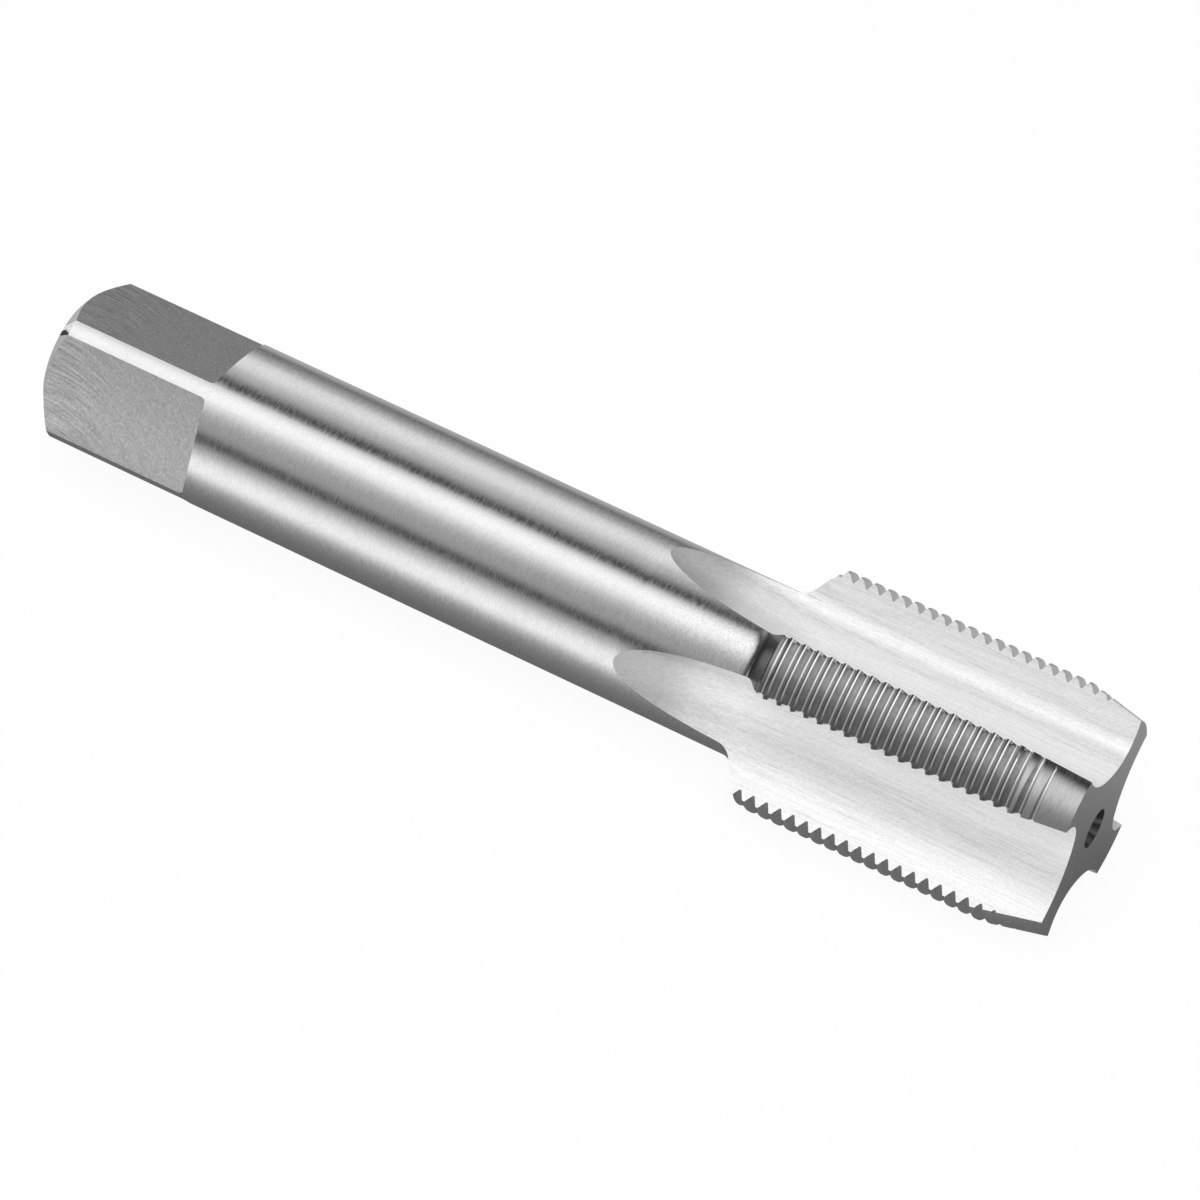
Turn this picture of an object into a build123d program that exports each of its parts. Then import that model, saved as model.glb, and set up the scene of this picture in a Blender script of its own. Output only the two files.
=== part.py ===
from build123d import *
import math
import os

# A machine tap for a fine metric thread: one turned, milled and ground piece of steel.
# The axis is +X, towards the cutting end. It lies on two of its four lands, with +Z up.
# The origin is on the axis, halfway along the plain round shank.
# Lengths are in millimetres and angles in degrees. An angle about the axis is counted
# from +Y towards +Z, which is also the way that the tool turns when it cuts.

# Round shank
shank_diameter = 18.0
plain_shank_length = 49.3

# Driving square at the end of the shank, and the bevel round that end
across_flats = 13.9
flat_count = 4
square_length = 19.1
square_mill_radius = 22.0
square_turn = -9.2
bevel_length = 1.95
bevel_depth = 3.0

# Thread: a right-hand helix, so each groove leans with the turn of the tool
major_diameter = 26.1
pitch = 1.5
flank_angle = 60.0
crest_width = 0.25
root_width = 0.19
first_root_distance = 0.9
crest_length = 33.6

# Lead, the taper that starts the cut. On each land it is ground about a line off the axis,
# so that behind the cutting edge it falls away from the hole.
lead_length = 6.2
lead_end_diameter = 23.3
relief_offset = 2.4

# Shoulder between the shank and the thread
shoulder_angle = 55.0
shoulder_fillet = 2.0

# Flutes, each with its cutting wall behind the floor and its heel wall before it
flute_count = 4
core_diameter = 11.6
floor_offset = 3.2
cutting_wall_angle = 17.2
cutting_corner_radius = 3.7
heel_wall_angle = 32.4
heel_corner_radius = 9.3
flute_turn = 4.6
flute_straight_length = 28.5
flute_mill_radius = 80.0

# Centre holes in both ends, from the turning and the grinding
centre_mouth_diameter = 4.3
centre_cone_angle = 60.0
pilot_diameter = 2.0
pilot_depth = 5.0
pilot_tip_angle = 118.0

# How far each cutter reaches past the metal that it takes away
over_run = 1.0

# Radii and places along the axis, from the sizes above
shank_radius = shank_diameter / 2
major_radius = major_diameter / 2
core_radius = core_diameter / 2
flank_slope = math.tan(math.radians(flank_angle / 2))
thread_depth = (pitch - crest_width - root_width) / 2 / flank_slope
root_radius = major_radius - thread_depth
tip_floor = math.sqrt((shank_radius + heel_corner_radius)**2 - floor_offset**2) - heel_corner_radius
run_out_rise = flute_mill_radius - (tip_floor - core_radius)
run_out_length = math.sqrt(flute_mill_radius**2 - run_out_rise**2)
square_end = -plain_shank_length / 2
drive_face = square_end - square_length
run_out_start = plain_shank_length / 2 + run_out_length
cutting_face = run_out_start + flute_straight_length
crest_end = cutting_face - crest_length
shoulder_length = (major_radius - shank_radius) / math.tan(math.radians(shoulder_angle))
shoulder_start = crest_end - shoulder_length
land_turn = 360 / flute_count
lead_slope = (major_radius - lead_end_diameter / 2) / lead_length
wall_lean = math.radians(cutting_wall_angle)
corner_rise = core_radius + cutting_corner_radius * (1 - math.sin(wall_lean))
corner_side = floor_offset + cutting_corner_radius * math.cos(wall_lean)
wall_distance = corner_side * math.cos(wall_lean) - corner_rise * math.sin(wall_lean)
edge_turn = cutting_wall_angle + math.degrees(math.asin(wall_distance / major_radius))


def turned_blank():
    """The tool before milling: bevel, shank, shoulder and thread cylinder."""
    half_section = make_face(
        Polyline(
            (drive_face, 0),
            (drive_face, shank_radius - bevel_depth),
            (drive_face + bevel_length, shank_radius),
            (shoulder_start, shank_radius),
            (crest_end, major_radius),
            (cutting_face, major_radius),
            (cutting_face, 0),
            close=True,
        )
    )
    shoulder_foot = (shoulder_start, shank_radius, 0)
    corner = half_section.vertices().sort_by_distance(shoulder_foot)[0]
    return revolve(fillet(corner, shoulder_fillet), Axis.X, 360)


def square_mills():
    """The four paths of the mill that cuts the flats, each from past the drive end."""
    travel = square_length + over_run
    path = SlotCenterToCenter(travel, 2 * square_mill_radius)
    middle = square_end - square_mill_radius - travel / 2
    flat = Plane((middle, across_flats / 2, 0), x_dir=(1, 0, 0), z_dir=(0, 1, 0))
    cut = extrude(flat * path, shank_radius - across_flats / 2 + over_run)
    turn = 360 / flat_count
    return [Rot(X=square_turn + i * turn) * cut for i in range(flat_count)]


def flute_section():
    """A flute across the axis, X outward and Y ahead: hooked cutting wall, round heel wall."""
    floor = (core_radius, -floor_offset)
    cutting_corner = JernArc(floor, (0, -1), cutting_corner_radius, 90 - cutting_wall_angle)
    heel_corner = JernArc(floor, (0, 1), heel_corner_radius, heel_wall_angle - 90)
    mouth = major_radius + over_run
    ends = []
    for corner, angle in ((cutting_corner, -cutting_wall_angle), (heel_corner, heel_wall_angle)):
        wall_end = corner @ 1
        rise = (mouth - wall_end.X) * math.tan(math.radians(angle))
        ends.append(Vector(mouth, wall_end.Y + rise))
    return make_face(
        [
            Line(ends[0], cutting_corner @ 1),
            cutting_corner,
            heel_corner,
            Line(heel_corner @ 1, ends[1]),
            Line(ends[1], ends[0]),
        ]
    )


def flute_mills():
    """Each flute runs straight from the cutting face, then rises out along the mill's curve."""
    across = Plane((run_out_start, 0, 0), x_dir=(0, 1, 0), z_dir=(1, 0, 0))
    section = across * flute_section()
    straight = extrude(section, flute_straight_length + over_run)
    mill_axis = Axis((run_out_start, core_radius + flute_mill_radius, 0), (0, 0, -1))
    mill_turn = 2 * math.degrees(math.acos(run_out_rise / flute_mill_radius))
    run_out = revolve(section, mill_axis, mill_turn)
    cut = straight + run_out
    return [Rot(X=flute_turn + i * land_turn) * cut for i in range(flute_count)]


def lead_grinds():
    """What the grinding takes off each land's lead: all that lies outside an offset cone."""
    back = cutting_face - 1.5 * lead_length
    front = cutting_face + over_run
    back_radius = major_radius + lead_slope * lead_length / 2 - relief_offset
    front_radius = lead_end_diameter / 2 - lead_slope * over_run - relief_offset
    outer = major_radius + over_run
    ring = make_face(
        Polyline((back, shank_radius), (back, outer), (front, outer), (front, shank_radius), close=True)
    )
    core = make_face(
        Polyline((back, 0), (back, back_radius), (front, front_radius), (front, 0), close=True)
    )
    edge_place = flute_turn + land_turn - edge_turn
    cone = Rot(X=edge_place) * Pos(Y=relief_offset) * revolve(core, Axis.X, 360)
    waste = revolve(ring, Axis.X, land_turn) - cone
    return [Rot(X=land * land_turn) * waste for land in range(flute_count)]


def thread_grooves():
    """On each land, a row of ring grooves tilted by the helix angle, a pitch apart."""
    outer = root_radius + thread_depth + crest_width / 4 / flank_slope
    half_top = root_width / 2 + (outer - root_radius) * flank_slope
    groove_section = make_face(
        Polyline(
            (-root_width / 2, root_radius),
            (root_width / 2, root_radius),
            (half_top, outer),
            (-half_top, outer),
            close=True,
        )
    )
    arc = Rot(X=-land_turn / 2) * revolve(groove_section, Axis.X, land_turn)
    lead_angle = math.degrees(math.atan(pitch / (2 * math.pi * (root_radius + thread_depth / 2))))
    groove = Rot(Y=lead_angle) * arc
    groove_count = math.ceil((crest_length + shoulder_length) / pitch)
    first_root = cutting_face - first_root_distance
    grooves = []
    for land in range(flute_count):
        advance = pitch * land / flute_count
        turned = Rot(X=(land + 0.5) * land_turn) * groove
        for i in range(groove_count):
            grooves.append(Pos(X=first_root + advance - i * pitch) * turned)
    return grooves


def centre_holes():
    """A cone and a pilot drilled into each end, on the axis."""
    mouth_radius = centre_mouth_diameter / 2
    pilot_radius = pilot_diameter / 2
    cone_slope = math.tan(math.radians(centre_cone_angle / 2))
    tip_length = pilot_radius / math.tan(math.radians(pilot_tip_angle / 2))
    hole = revolve(
        make_face(
            Polyline(
                (-over_run, 0),
                (-over_run, mouth_radius + over_run * cone_slope),
                ((mouth_radius - pilot_radius) / cone_slope, pilot_radius),
                (pilot_depth - tip_length, pilot_radius),
                (pilot_depth, 0),
                close=True,
            )
        ),
        Axis.X,
        360,
    )
    return [Pos(X=drive_face) * hole, Pos(X=cutting_face) * Rot(Z=180) * hole]


def build_tap():
    blank = turned_blank()
    fluted = blank - (square_mills() + flute_mills() + centre_holes())
    fluted = fluted - lead_grinds()
    return fluted - thread_grooves()


tap = build_tap()
tap.label = "tap"
os.makedirs("parts", exist_ok=True)
export_step(tap, "parts/tap.step")
print("solids", len(tap.solids()), "faces", len(tap.faces()), "volume", round(tap.volume, 1))
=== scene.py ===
import math

import bmesh
import bpy
import numpy as np
from mathutils import Matrix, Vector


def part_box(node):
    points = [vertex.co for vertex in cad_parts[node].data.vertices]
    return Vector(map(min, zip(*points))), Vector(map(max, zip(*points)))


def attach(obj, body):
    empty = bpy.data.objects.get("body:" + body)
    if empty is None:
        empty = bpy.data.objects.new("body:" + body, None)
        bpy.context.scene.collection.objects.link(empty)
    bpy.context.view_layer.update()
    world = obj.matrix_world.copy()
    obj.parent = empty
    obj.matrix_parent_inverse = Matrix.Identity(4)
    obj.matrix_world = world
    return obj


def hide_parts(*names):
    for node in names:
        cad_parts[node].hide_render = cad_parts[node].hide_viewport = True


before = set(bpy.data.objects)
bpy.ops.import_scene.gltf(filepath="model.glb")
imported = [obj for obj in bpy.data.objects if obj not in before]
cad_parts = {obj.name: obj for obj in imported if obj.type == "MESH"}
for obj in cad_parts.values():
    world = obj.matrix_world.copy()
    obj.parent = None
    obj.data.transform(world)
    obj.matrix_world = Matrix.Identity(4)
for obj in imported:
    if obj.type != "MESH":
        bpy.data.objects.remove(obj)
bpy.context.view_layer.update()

# A thread tap for a fine metric thread, seen from its cutting end and a little from above.
# The sizes are in millimetres and degrees, and points go into the meshes in metres.
# +X is the tool's axis, towards the cutting end. Turns about it are counted from +Y towards +Z.
milli = 0.001
quarter = math.pi / 2
landCount = 4                   # lands, flutes and flats
landTurn = 360 / landCount      # degrees about the axis from one to the next

tapSizes = {
    "shankRadius": 9.0,
    "shankLength": 49.3,
    "flatDistance": 6.95,       # from the axis to each flat of the square
    "squareLength": 19.1,
    "squareTurn": -9.2,
    "flatMillRadius": 22.0,
    "flatCorner": 0.4,          # rounding of the flats' corners at the shank
    "bevelLength": 1.95,
    "bevelDepth": 3.0,
    "majorRadius": 13.05,
    "pitch": 1.5,
    "flankAngle": 60.0,
    "crestWidth": 0.25,
    "rootWidth": 0.19,
    "firstRoot": 0.9,           # from the cutting face back to the first root
    "crestLength": 33.6,
    "leadLength": 6.2,
    "leadEndRadius": 11.65,
    "shoulderAngle": 55.0,
    "shoulderFillet": 2.0,
    "coreRadius": 5.8,
    "floorOffset": 3.2,
    "cuttingAngle": 17.2,
    "cuttingCorner": 3.7,
    "heelAngle": 32.4,
    "heelCorner": 9.3,
    "fluteTurn": 4.6,
    "fluteLength": 28.5,
    "fluteMillRadius": 80.0,
    "mouthRadius": 2.15,
    "coneAngle": 60.0,
    "pilotRadius": 1.0,
    "pilotDepth": 5.0,
    "pilotTipAngle": 118.0,
    "reliefOffset": 2.4,        # each land's lead is ground about a line this far off the axis
    "cornerDrop": 0.22,         # honed corner on each tooth at the cutting edge
    "cornerReach": 1.45,
}

tapGrid = {
    "landCells": 24,            # across each land, and each quarter of the shank
    "stripCells": 6,            # of those, across each corner of the square
    "flatSpread": 1.8,          # how closely a flat's columns gather at its corners
    "wallCells": 16,            # up each wall of a flute
    "rootCount": 24,            # from the cutting face back past the shoulder
    "crestEndRows": 6,          # from the grooves' start to the full crest
    "firstRowGap": 0.2,         # from the thread's first row to where its grooves start
    "runOutRows": 36,
    "filletRows": 8,
    "coneRows": 7,
    "bevelRows": 4,
    "flatRows": 14,
    "stepRows": 3,              # up the step at the end of each flat
    "shankRows": 30,
    "faceRows": 5,
    "pilotGaps": (0.6, 0.5),    # the pilot has rows this far from its two ends
    "fluteApart": 40.0,         # between the four flutes on the surface map
    "shankFinishGap": 0.3,      # the shank's finish ends this far before the fillet does
    "darkSpotQuarter": 1,           # the quarter of the bevel that has the small spot painted dark
    "beforeDarkSpot": 3,            # cells of its corner strip before the spot painted dark
    "sharpTurn": 17.0,          # an edge that turns by more than this is sharp
    "mergeDistance": 2e-6,      # in metres
    "emptyEdge": 1e-7,
}

# Places along the axis and slopes that follow from the sizes
size = dict(tapSizes)
heelReach = math.sqrt((size["shankRadius"] + size["heelCorner"]) ** 2 - size["floorOffset"] ** 2)
size["tipFloor"] = heelReach - size["heelCorner"]
size["runOutRise"] = size["fluteMillRadius"] - (size["tipFloor"] - size["coreRadius"])
size["runOutLength"] = math.sqrt(size["fluteMillRadius"] ** 2 - size["runOutRise"] ** 2)
size["squareEnd"] = -size["shankLength"] / 2
size["driveFace"] = size["squareEnd"] - size["squareLength"]
size["faceRadius"] = size["shankRadius"] - size["bevelDepth"]
size["bevelSlope"] = size["bevelLength"] / size["bevelDepth"]
size["runOutStart"] = size["shankLength"] / 2 + size["runOutLength"]
size["cuttingFace"] = size["runOutStart"] + size["fluteLength"]
size["crestEnd"] = size["cuttingFace"] - size["crestLength"]
size["leadStart"] = size["cuttingFace"] - size["leadLength"]
size["leadSlope"] = (size["majorRadius"] - size["leadEndRadius"]) / size["leadLength"]
size["shoulderSlope"] = math.tan(math.radians(size["shoulderAngle"]))
size["shoulderLength"] = (size["majorRadius"] - size["shankRadius"]) / size["shoulderSlope"]
size["shoulderStart"] = size["crestEnd"] - size["shoulderLength"]
filletReach = size["shoulderFillet"] * math.tan(math.radians(size["shoulderAngle"] / 2))
size["filletStart"] = size["shoulderStart"] - filletReach
filletLength = size["shoulderFillet"] * math.sin(math.radians(size["shoulderAngle"]))
size["filletEnd"] = size["filletStart"] + filletLength
size["flankSlope"] = math.tan(math.radians(size["flankAngle"] / 2))
size["threadDepth"] = (size["pitch"] - size["crestWidth"] - size["rootWidth"]) / 2 / size["flankSlope"]
size["rootRadius"] = size["majorRadius"] - size["threadDepth"]
size["threadStart"] = size["crestEnd"] - size["threadDepth"] / size["shoulderSlope"]
size["firstRow"] = size["threadStart"] - tapGrid["firstRowGap"]

cameraView = {
    "imagePixels": 1200,
    "focalPixels": 7047.6,
    "faceCentre": (48.770, 22.554, 695.125),   # cutting face, right of, below and beyond the camera
    "axisTurn": 25.030,         # the axis in the picture, clockwise from level
    "axisTowards": 15.982,      # and towards the camera
    "sideInView": 140.05,       # turn about the axis of the side that faces the camera
    "sensorWidth": 36.0,
    "nearest": 0.05,            # metres that the camera sees between
    "farthest": 20.0,
}


def makeCamera(view):
    # The axis in the camera's own directions (right, down, away) is turned onto +X,
    # and the side of the tool that faces the camera onto its turn about the axis.
    turn, towards = math.radians(view["axisTurn"]), math.radians(view["axisTowards"])
    level = math.cos(towards)
    along = np.array([level * math.cos(turn), level * math.sin(turn), -math.sin(towards)])
    facing = np.array([0.0, 0.0, -1.0])
    facing = facing - facing.dot(along) * along
    facing = facing / np.linalg.norm(facing)
    seen = np.stack([along, facing, np.cross(along, facing)], 1)
    side = math.radians(view["sideInView"])
    placed = np.array([[1, 0, 0], [0, math.cos(side), -math.sin(side)], [0, math.sin(side), math.cos(side)]])
    toWorld = placed @ seen.T
    place = np.array([size["cuttingFace"], 0, 0]) - toWorld @ np.array(view["faceCentre"])
    pose = np.eye(4)
    pose[:3, :3] = toWorld @ np.diag([1.0, -1.0, -1.0])
    pose[:3, 3] = place * milli
    lens = bpy.data.cameras.new("studioCamera")
    lens.sensor_width = view["sensorWidth"]
    lens.lens = view["focalPixels"] / view["imagePixels"] * view["sensorWidth"]
    lens.clip_start = view["nearest"]
    lens.clip_end = view["farthest"]
    camera = bpy.data.objects.new("studioCamera", lens)
    camera.matrix_world = Matrix(pose.tolist())
    bpy.context.scene.collection.objects.link(camera)
    bpy.context.scene.camera = camera
    print("camera placed", [round(float(c), 4) for c in place * milli])


makeCamera(cameraView)

# Where the searches for a place on a flute look, and how often they narrow
searches = {
    "floorStations": (-1.5, 3.0),   # the deepest station is between these
    "wallReach": 18.0,              # a wall's top is nearer to the floor than this
    "tipFrom": 20.0,                # the run-outs' tips are past this place along the axis
    "thirds": 70,
    "wallHalves": 48,
    "tipHalves": 50,
    "leastSquare": 1e-9,            # keeps the root real
}


def fluteSection(station, x):
    # station runs along the flute's cross-section from its floor, negative up the cutting wall and
    # positive up the heel wall: an arc that leaves the floor level, then its tangent. Behind the
    # straight part the height h rises along the mill's circle: C - sqrt((C - h)^2 - (x - start)^2).
    cutting = station < 0
    corner = np.where(cutting, size["cuttingCorner"], size["heelCorner"])
    lean = np.radians(np.where(cutting, size["cuttingAngle"], size["heelAngle"]))
    sweep = quarter - lean
    turned = np.minimum(np.abs(station) / corner, sweep)
    straight = np.maximum(np.abs(station) - corner * sweep, 0)
    height = size["coreRadius"] + corner * (1 - np.cos(turned)) + straight * np.cos(lean)
    side = corner * np.sin(turned) + straight * np.sin(lean)
    side = np.where(cutting, -side, side) - size["floorOffset"]
    millCentre = size["coreRadius"] + size["fluteMillRadius"]
    back = np.minimum(x - size["runOutStart"], 0)
    root = np.sqrt(np.maximum((millCentre - height) ** 2 - back ** 2, searches["leastSquare"]))
    return millCentre - root, side


def sectionRadius(station, x):
    # Distance from the axis: the root of height^2 + side^2.
    height, side = fluteSection(station, x)
    return np.hypot(height, side)


def deepestStation(x):
    # The station nearest to the axis, by thirds of a narrowing interval.
    low, high = (np.full(np.shape(x), place) for place in searches["floorStations"])
    for _ in range(searches["thirds"]):
        a, b = low + (high - low) / 3, high - (high - low) / 3
        nearer = sectionRadius(a, x) < sectionRadius(b, x)
        low, high = np.where(nearer, low, a), np.where(nearer, b, high)
    return (low + high) / 2


def wallStation(radius, x, side):
    # The station where the wall on that side reaches a radius, by halving an interval.
    # Where the flute lies wholly outside that radius, it stays at the deepest station.
    deepest = deepestStation(x)
    inner, outer = deepest, np.full(np.shape(x), side * searches["wallReach"])
    for _ in range(searches["wallHalves"]):
        middle = (inner + outer) / 2
        inside = sectionRadius(middle, x) < radius
        inner, outer = np.where(inside, middle, inner), np.where(inside, outer, middle)
    return np.where(sectionRadius(deepest, x) >= radius, deepest, (inner + outer) / 2)


def wallTurn(station, x):
    # Turn about the axis, from the flute's own direction: the angle whose tangent is side / height.
    height, side = fluteSection(station, x)
    return np.arctan2(side, height)


def runOutTip():
    # Where the mill leaves the shank: the flute's nearest point to the axis reaches its radius.
    low, high = searches["tipFrom"], size["filletStart"]
    for _ in range(searches["tipHalves"]):
        middle = (low + high) / 2
        nearest = float(sectionRadius(deepestStation(np.array([middle])), np.array([middle]))[0])
        low, high = (middle, high) if nearest > size["shankRadius"] else (low, middle)
    return high


def turnedRadius(x):
    # Outline of the turned blank from the shank on: shank, fillet, shoulder cone and thread cylinder.
    # The fillet is R + r - sqrt(r^2 - (x - start)^2).
    fillet = size["shankRadius"] + size["shoulderFillet"]
    fillet = fillet - np.sqrt(np.maximum(size["shoulderFillet"] ** 2 - (x - size["filletStart"]) ** 2, 0))
    cone = size["shankRadius"] + (x - size["shoulderStart"]) * size["shoulderSlope"]
    shoulder = np.where(x < size["filletEnd"], fillet, cone)
    return np.minimum(np.where(x < size["filletStart"], size["shankRadius"], shoulder), size["majorRadius"])


def leadDrop(behind):
    # How far a circle about the offset line lies inside the one about the axis, at a turn behind the
    # edge: m - o cos(t) - sqrt((m - o)^2 - (o sin(t))^2).
    middle = (size["majorRadius"] + size["leadEndRadius"]) / 2
    turn, offset = behind / size["majorRadius"], size["reliefOffset"]
    return middle - offset * np.cos(turn) - np.sqrt((middle - offset) ** 2 - (offset * np.sin(turn)) ** 2)


def leadRadius(x, behind):
    # The lead falls by its slope along the axis, and by its relief behind the cutting edge.
    return size["majorRadius"] - (x - size["leadStart"]) * size["leadSlope"] - leadDrop(behind)


def leadLine(behind):
    # Where the lead starts, which is sooner behind the cutting edge.
    return size["leadStart"] - leadDrop(behind) / size["leadSlope"]


def rootPlace(turn, number):
    # A helix: the roots move on by a pitch for each turn.
    advance = size["pitch"] * (np.degrees(turn) - landTurn / 2) / 360
    return size["cuttingFace"] - size["firstRoot"] + advance - number * size["pitch"]


def cornerDrop(behind):
    # The honed corner falls as (1 - distance / reach)^1.5 up to the cutting edge.
    return size["cornerDrop"] * np.maximum(1 - behind / size["cornerReach"], 0) ** 1.5


def threadRadius(x, turn, behind):
    # The lowest of blank, lead and groove. A groove is flat at the root with 60 degree flanks.
    # Each tooth's crest drops towards the cutting face beside the cutting edge.
    number = np.round((rootPlace(turn, 0) - x) / size["pitch"])
    past = x - rootPlace(turn, number)
    groove = size["rootRadius"] + np.maximum(np.abs(past) - size["rootWidth"] / 2, 0) / size["flankSlope"]
    crestHalf = size["crestWidth"] / 2
    fromCrest = np.mod(past, size["pitch"]) - size["pitch"] / 2
    drop = cornerDrop(behind)
    ramp = np.clip((fromCrest + crestHalf) / (2 * crestHalf + drop * size["flankSlope"]), 0, 1)
    blank = np.minimum(turnedRadius(x) - drop * ramp, leadRadius(x, behind))
    return np.minimum(blank, groove), blank, groove, np.abs(past)


zoneNames = [
    "shank", "flat", "flatWall", "bevel", "driveFace", "hole", "flute", "shoulder", "crest", "flank", "root",
    "cuttingFace", "bevelCorner", "crestBackPaintedShade", "lead", "bevelStrip", "flankBack",
]
zones = {name: place for place, name in enumerate(zoneNames)}


def aroundAxis(x, radius, turn):
    # Points about the axis: x, radius cos(turn), radius sin(turn).
    x, radius, turn = np.broadcast_arrays(x, radius, turn)
    return np.stack([x, radius * np.cos(turn), radius * np.sin(turn)], -1)


def onFlute(number, station, x):
    # A flute's cross-section, turned to its place about the axis.
    height, side = fluteSection(station, x)
    turn = math.radians(size["fluteTurn"] + landTurn * number)
    level, rise = math.cos(turn), math.sin(turn)
    return np.stack([x, height * level - side * rise, height * rise + side * level], -1)


def patch(points, zone, along, around):
    # A grid of points whose rows run along the tool and whose columns run with its turn.
    cells = (points.shape[0] - 1, points.shape[1] - 1)
    return {
        "points": points,
        "zone": np.broadcast_to(zone, cells).astype(np.int32),
        "map": np.stack([along + 0 * points[..., 0], around + 0 * points[..., 0]], -1),
    }


def between(start, end, share):
    # A share of the way from start to end.
    return start + (end - start) * share


def shares(cells):
    # Even steps from 0 to 1
    return np.linspace(0, 1, cells + 1)


def threadRows(turn, behind):
    # Rows follow the helix: both root edges, both crest edges, and the middles between them.
    # Where the lead's cone cuts a flank lower down, the crest edge is where the two lines meet.
    root = rootPlace(turn, np.arange(tapGrid["rootCount"])[:, None])
    half, slope = size["rootWidth"] / 2, size["flankSlope"]
    drop = cornerDrop(behind)
    top = size["majorRadius"] - size["rootRadius"]
    coneAtZero = size["majorRadius"] - leadDrop(behind) + size["leadSlope"] * size["leadStart"]
    lowCrest = root - half - (top - drop) * slope
    lowCone = ((root - half) / slope + size["rootRadius"] - coneAtZero) / (1 / slope - size["leadSlope"])
    lowCrest = np.minimum(np.maximum(lowCrest, lowCone), root - half)
    highCrest = root + half + top * slope
    highCone = (coneAtZero - size["rootRadius"] + (root + half) / slope) / (1 / slope + size["leadSlope"])
    highCrest = np.maximum(np.minimum(highCrest, highCone), root + half)
    rows = [
        lowCrest, (lowCrest + root - half) / 2, root - half,
        root + half, (highCrest + root + half) / 2, highCrest, root - size["pitch"] / 2,
    ]
    shoulder = np.linspace(size["threadStart"], size["crestEnd"], tapGrid["crestEndRows"])
    fixed = np.concatenate([[size["firstRow"]], shoulder, [size["cuttingFace"]]])
    rows = np.concatenate(rows + [leadLine(behind)[None, :], fixed[:, None] + 0 * turn[None, :]], 0)
    return np.sort(np.clip(rows, fixed[0], size["cuttingFace"]), 0)


def landZones(x, turn, behind):
    # A cell is crest where the groove is no lower than the blank, root on the groove's floor, and
    # flank between. The back halves (painted shade), the lead, the shoulder and the shank have their own
    # zones.
    _, blank, groove, past = threadRadius(x, turn, behind)
    onCrest = groove >= blank
    fromCrest = np.mod(x - rootPlace(turn, 0), size["pitch"]) - size["pitch"] / 2
    onPaintedShadeHalf = (fromCrest < 0) & (fromCrest > -size["crestWidth"])
    crest = np.where(onPaintedShadeHalf, zones["crestBackPaintedShade"], zones["crest"])
    crest = np.where(x > leadLine(behind), zones["lead"], crest)
    flank = np.where(fromCrest < 0, zones["flankBack"], zones["flank"])
    groove = np.where(past < size["rootWidth"] / 2, zones["root"], flank)
    zone = np.where(onCrest, crest, groove)
    zone = np.where((x < size["crestEnd"]) & onCrest | (x < size["firstRow"]), zones["shoulder"], zone)
    return np.where(x < size["filletEnd"] - tapGrid["shankFinishGap"], zones["shank"], zone)


def buildLands(tip):
    # Between two flutes the surface is a strip whose edges are the walls' meeting with the local radius.
    share = shares(tapGrid["landCells"])
    straight = np.array([size["cuttingFace"]])
    top = np.array([size["majorRadius"]])
    heelTurn = float(wallTurn(wallStation(top, straight, 1), straight)[0])
    edgeTurn = float(wallTurn(wallStation(top, straight, -1), straight)[0]) + quarter
    behind = (1 - share) * (edgeTurn - heelTurn) * size["majorRadius"]
    runOut = between(tip, size["filletStart"], shares(tapGrid["runOutRows"]) ** 2)
    angle = np.linspace(0, math.radians(size["shoulderAngle"]), tapGrid["filletRows"] + 1)[1:]
    fillet = size["filletStart"] + size["shoulderFillet"] * np.sin(angle)
    cone = np.linspace(size["filletEnd"], size["firstRow"], tapGrid["coneRows"] + 1)[1:-1]
    plainRows = np.concatenate([runOut, fillet, cone])
    lands = []
    for number in range(landCount):
        base = math.radians(size["fluteTurn"]) + number * quarter
        turn = base + between(heelTurn, edgeTurn, share)
        rows = threadRows(turn, behind)
        xs = np.concatenate([plainRows[:, None] + 0 * share, rows])
        plainRadii = turnedRadius(plainRows)[:, None] + 0 * share
        radii = np.concatenate([plainRadii, threadRadius(rows, turn, behind)[0]])
        heel = wallStation(radii[:, 0], xs[:, 0], 1)
        edge = wallStation(radii[:, -1], xs[:, -1], -1)
        heelTurns, edgeTurns = wallTurn(heel, xs[:, 0]), wallTurn(edge, xs[:, -1]) + quarter
        turns = base + between(heelTurns[:, None], edgeTurns[:, None], share)
        centre = (xs[:-1, :-1] + xs[:-1, 1:] + xs[1:, :-1] + xs[1:, 1:]) / 4
        turnCentre = (turn[:-1] + turn[1:]) / 2 + 0 * centre
        zone = landZones(centre, turnCentre, (behind[:-1] + behind[1:]) / 2)
        lands.append({"x": xs, "radius": radii, "turn": turns, "heel": heel, "edge": edge, "zone": zone})
    return lands


def buildFlutes(lands):
    # A flute joins the cutting edge of one land to the heel of the next along its cross-section.
    cells = tapGrid["wallCells"]
    share = shares(cells)
    flutes = []
    for number in range(landCount):
        before, after = lands[number - 1], lands[number]
        xs = between(before["x"][:, -1:], after["x"][:, :1], shares(2 * cells))
        middle = deepestStation(xs[:, cells])[:, None]
        cutting = between(before["edge"][:, None], middle, share)
        heel = between(middle, after["heel"][:, None], share)
        station = np.concatenate([cutting, heel[:, 1:]], 1)
        flutes.append({"x": xs, "station": station})
    return flutes


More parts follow.
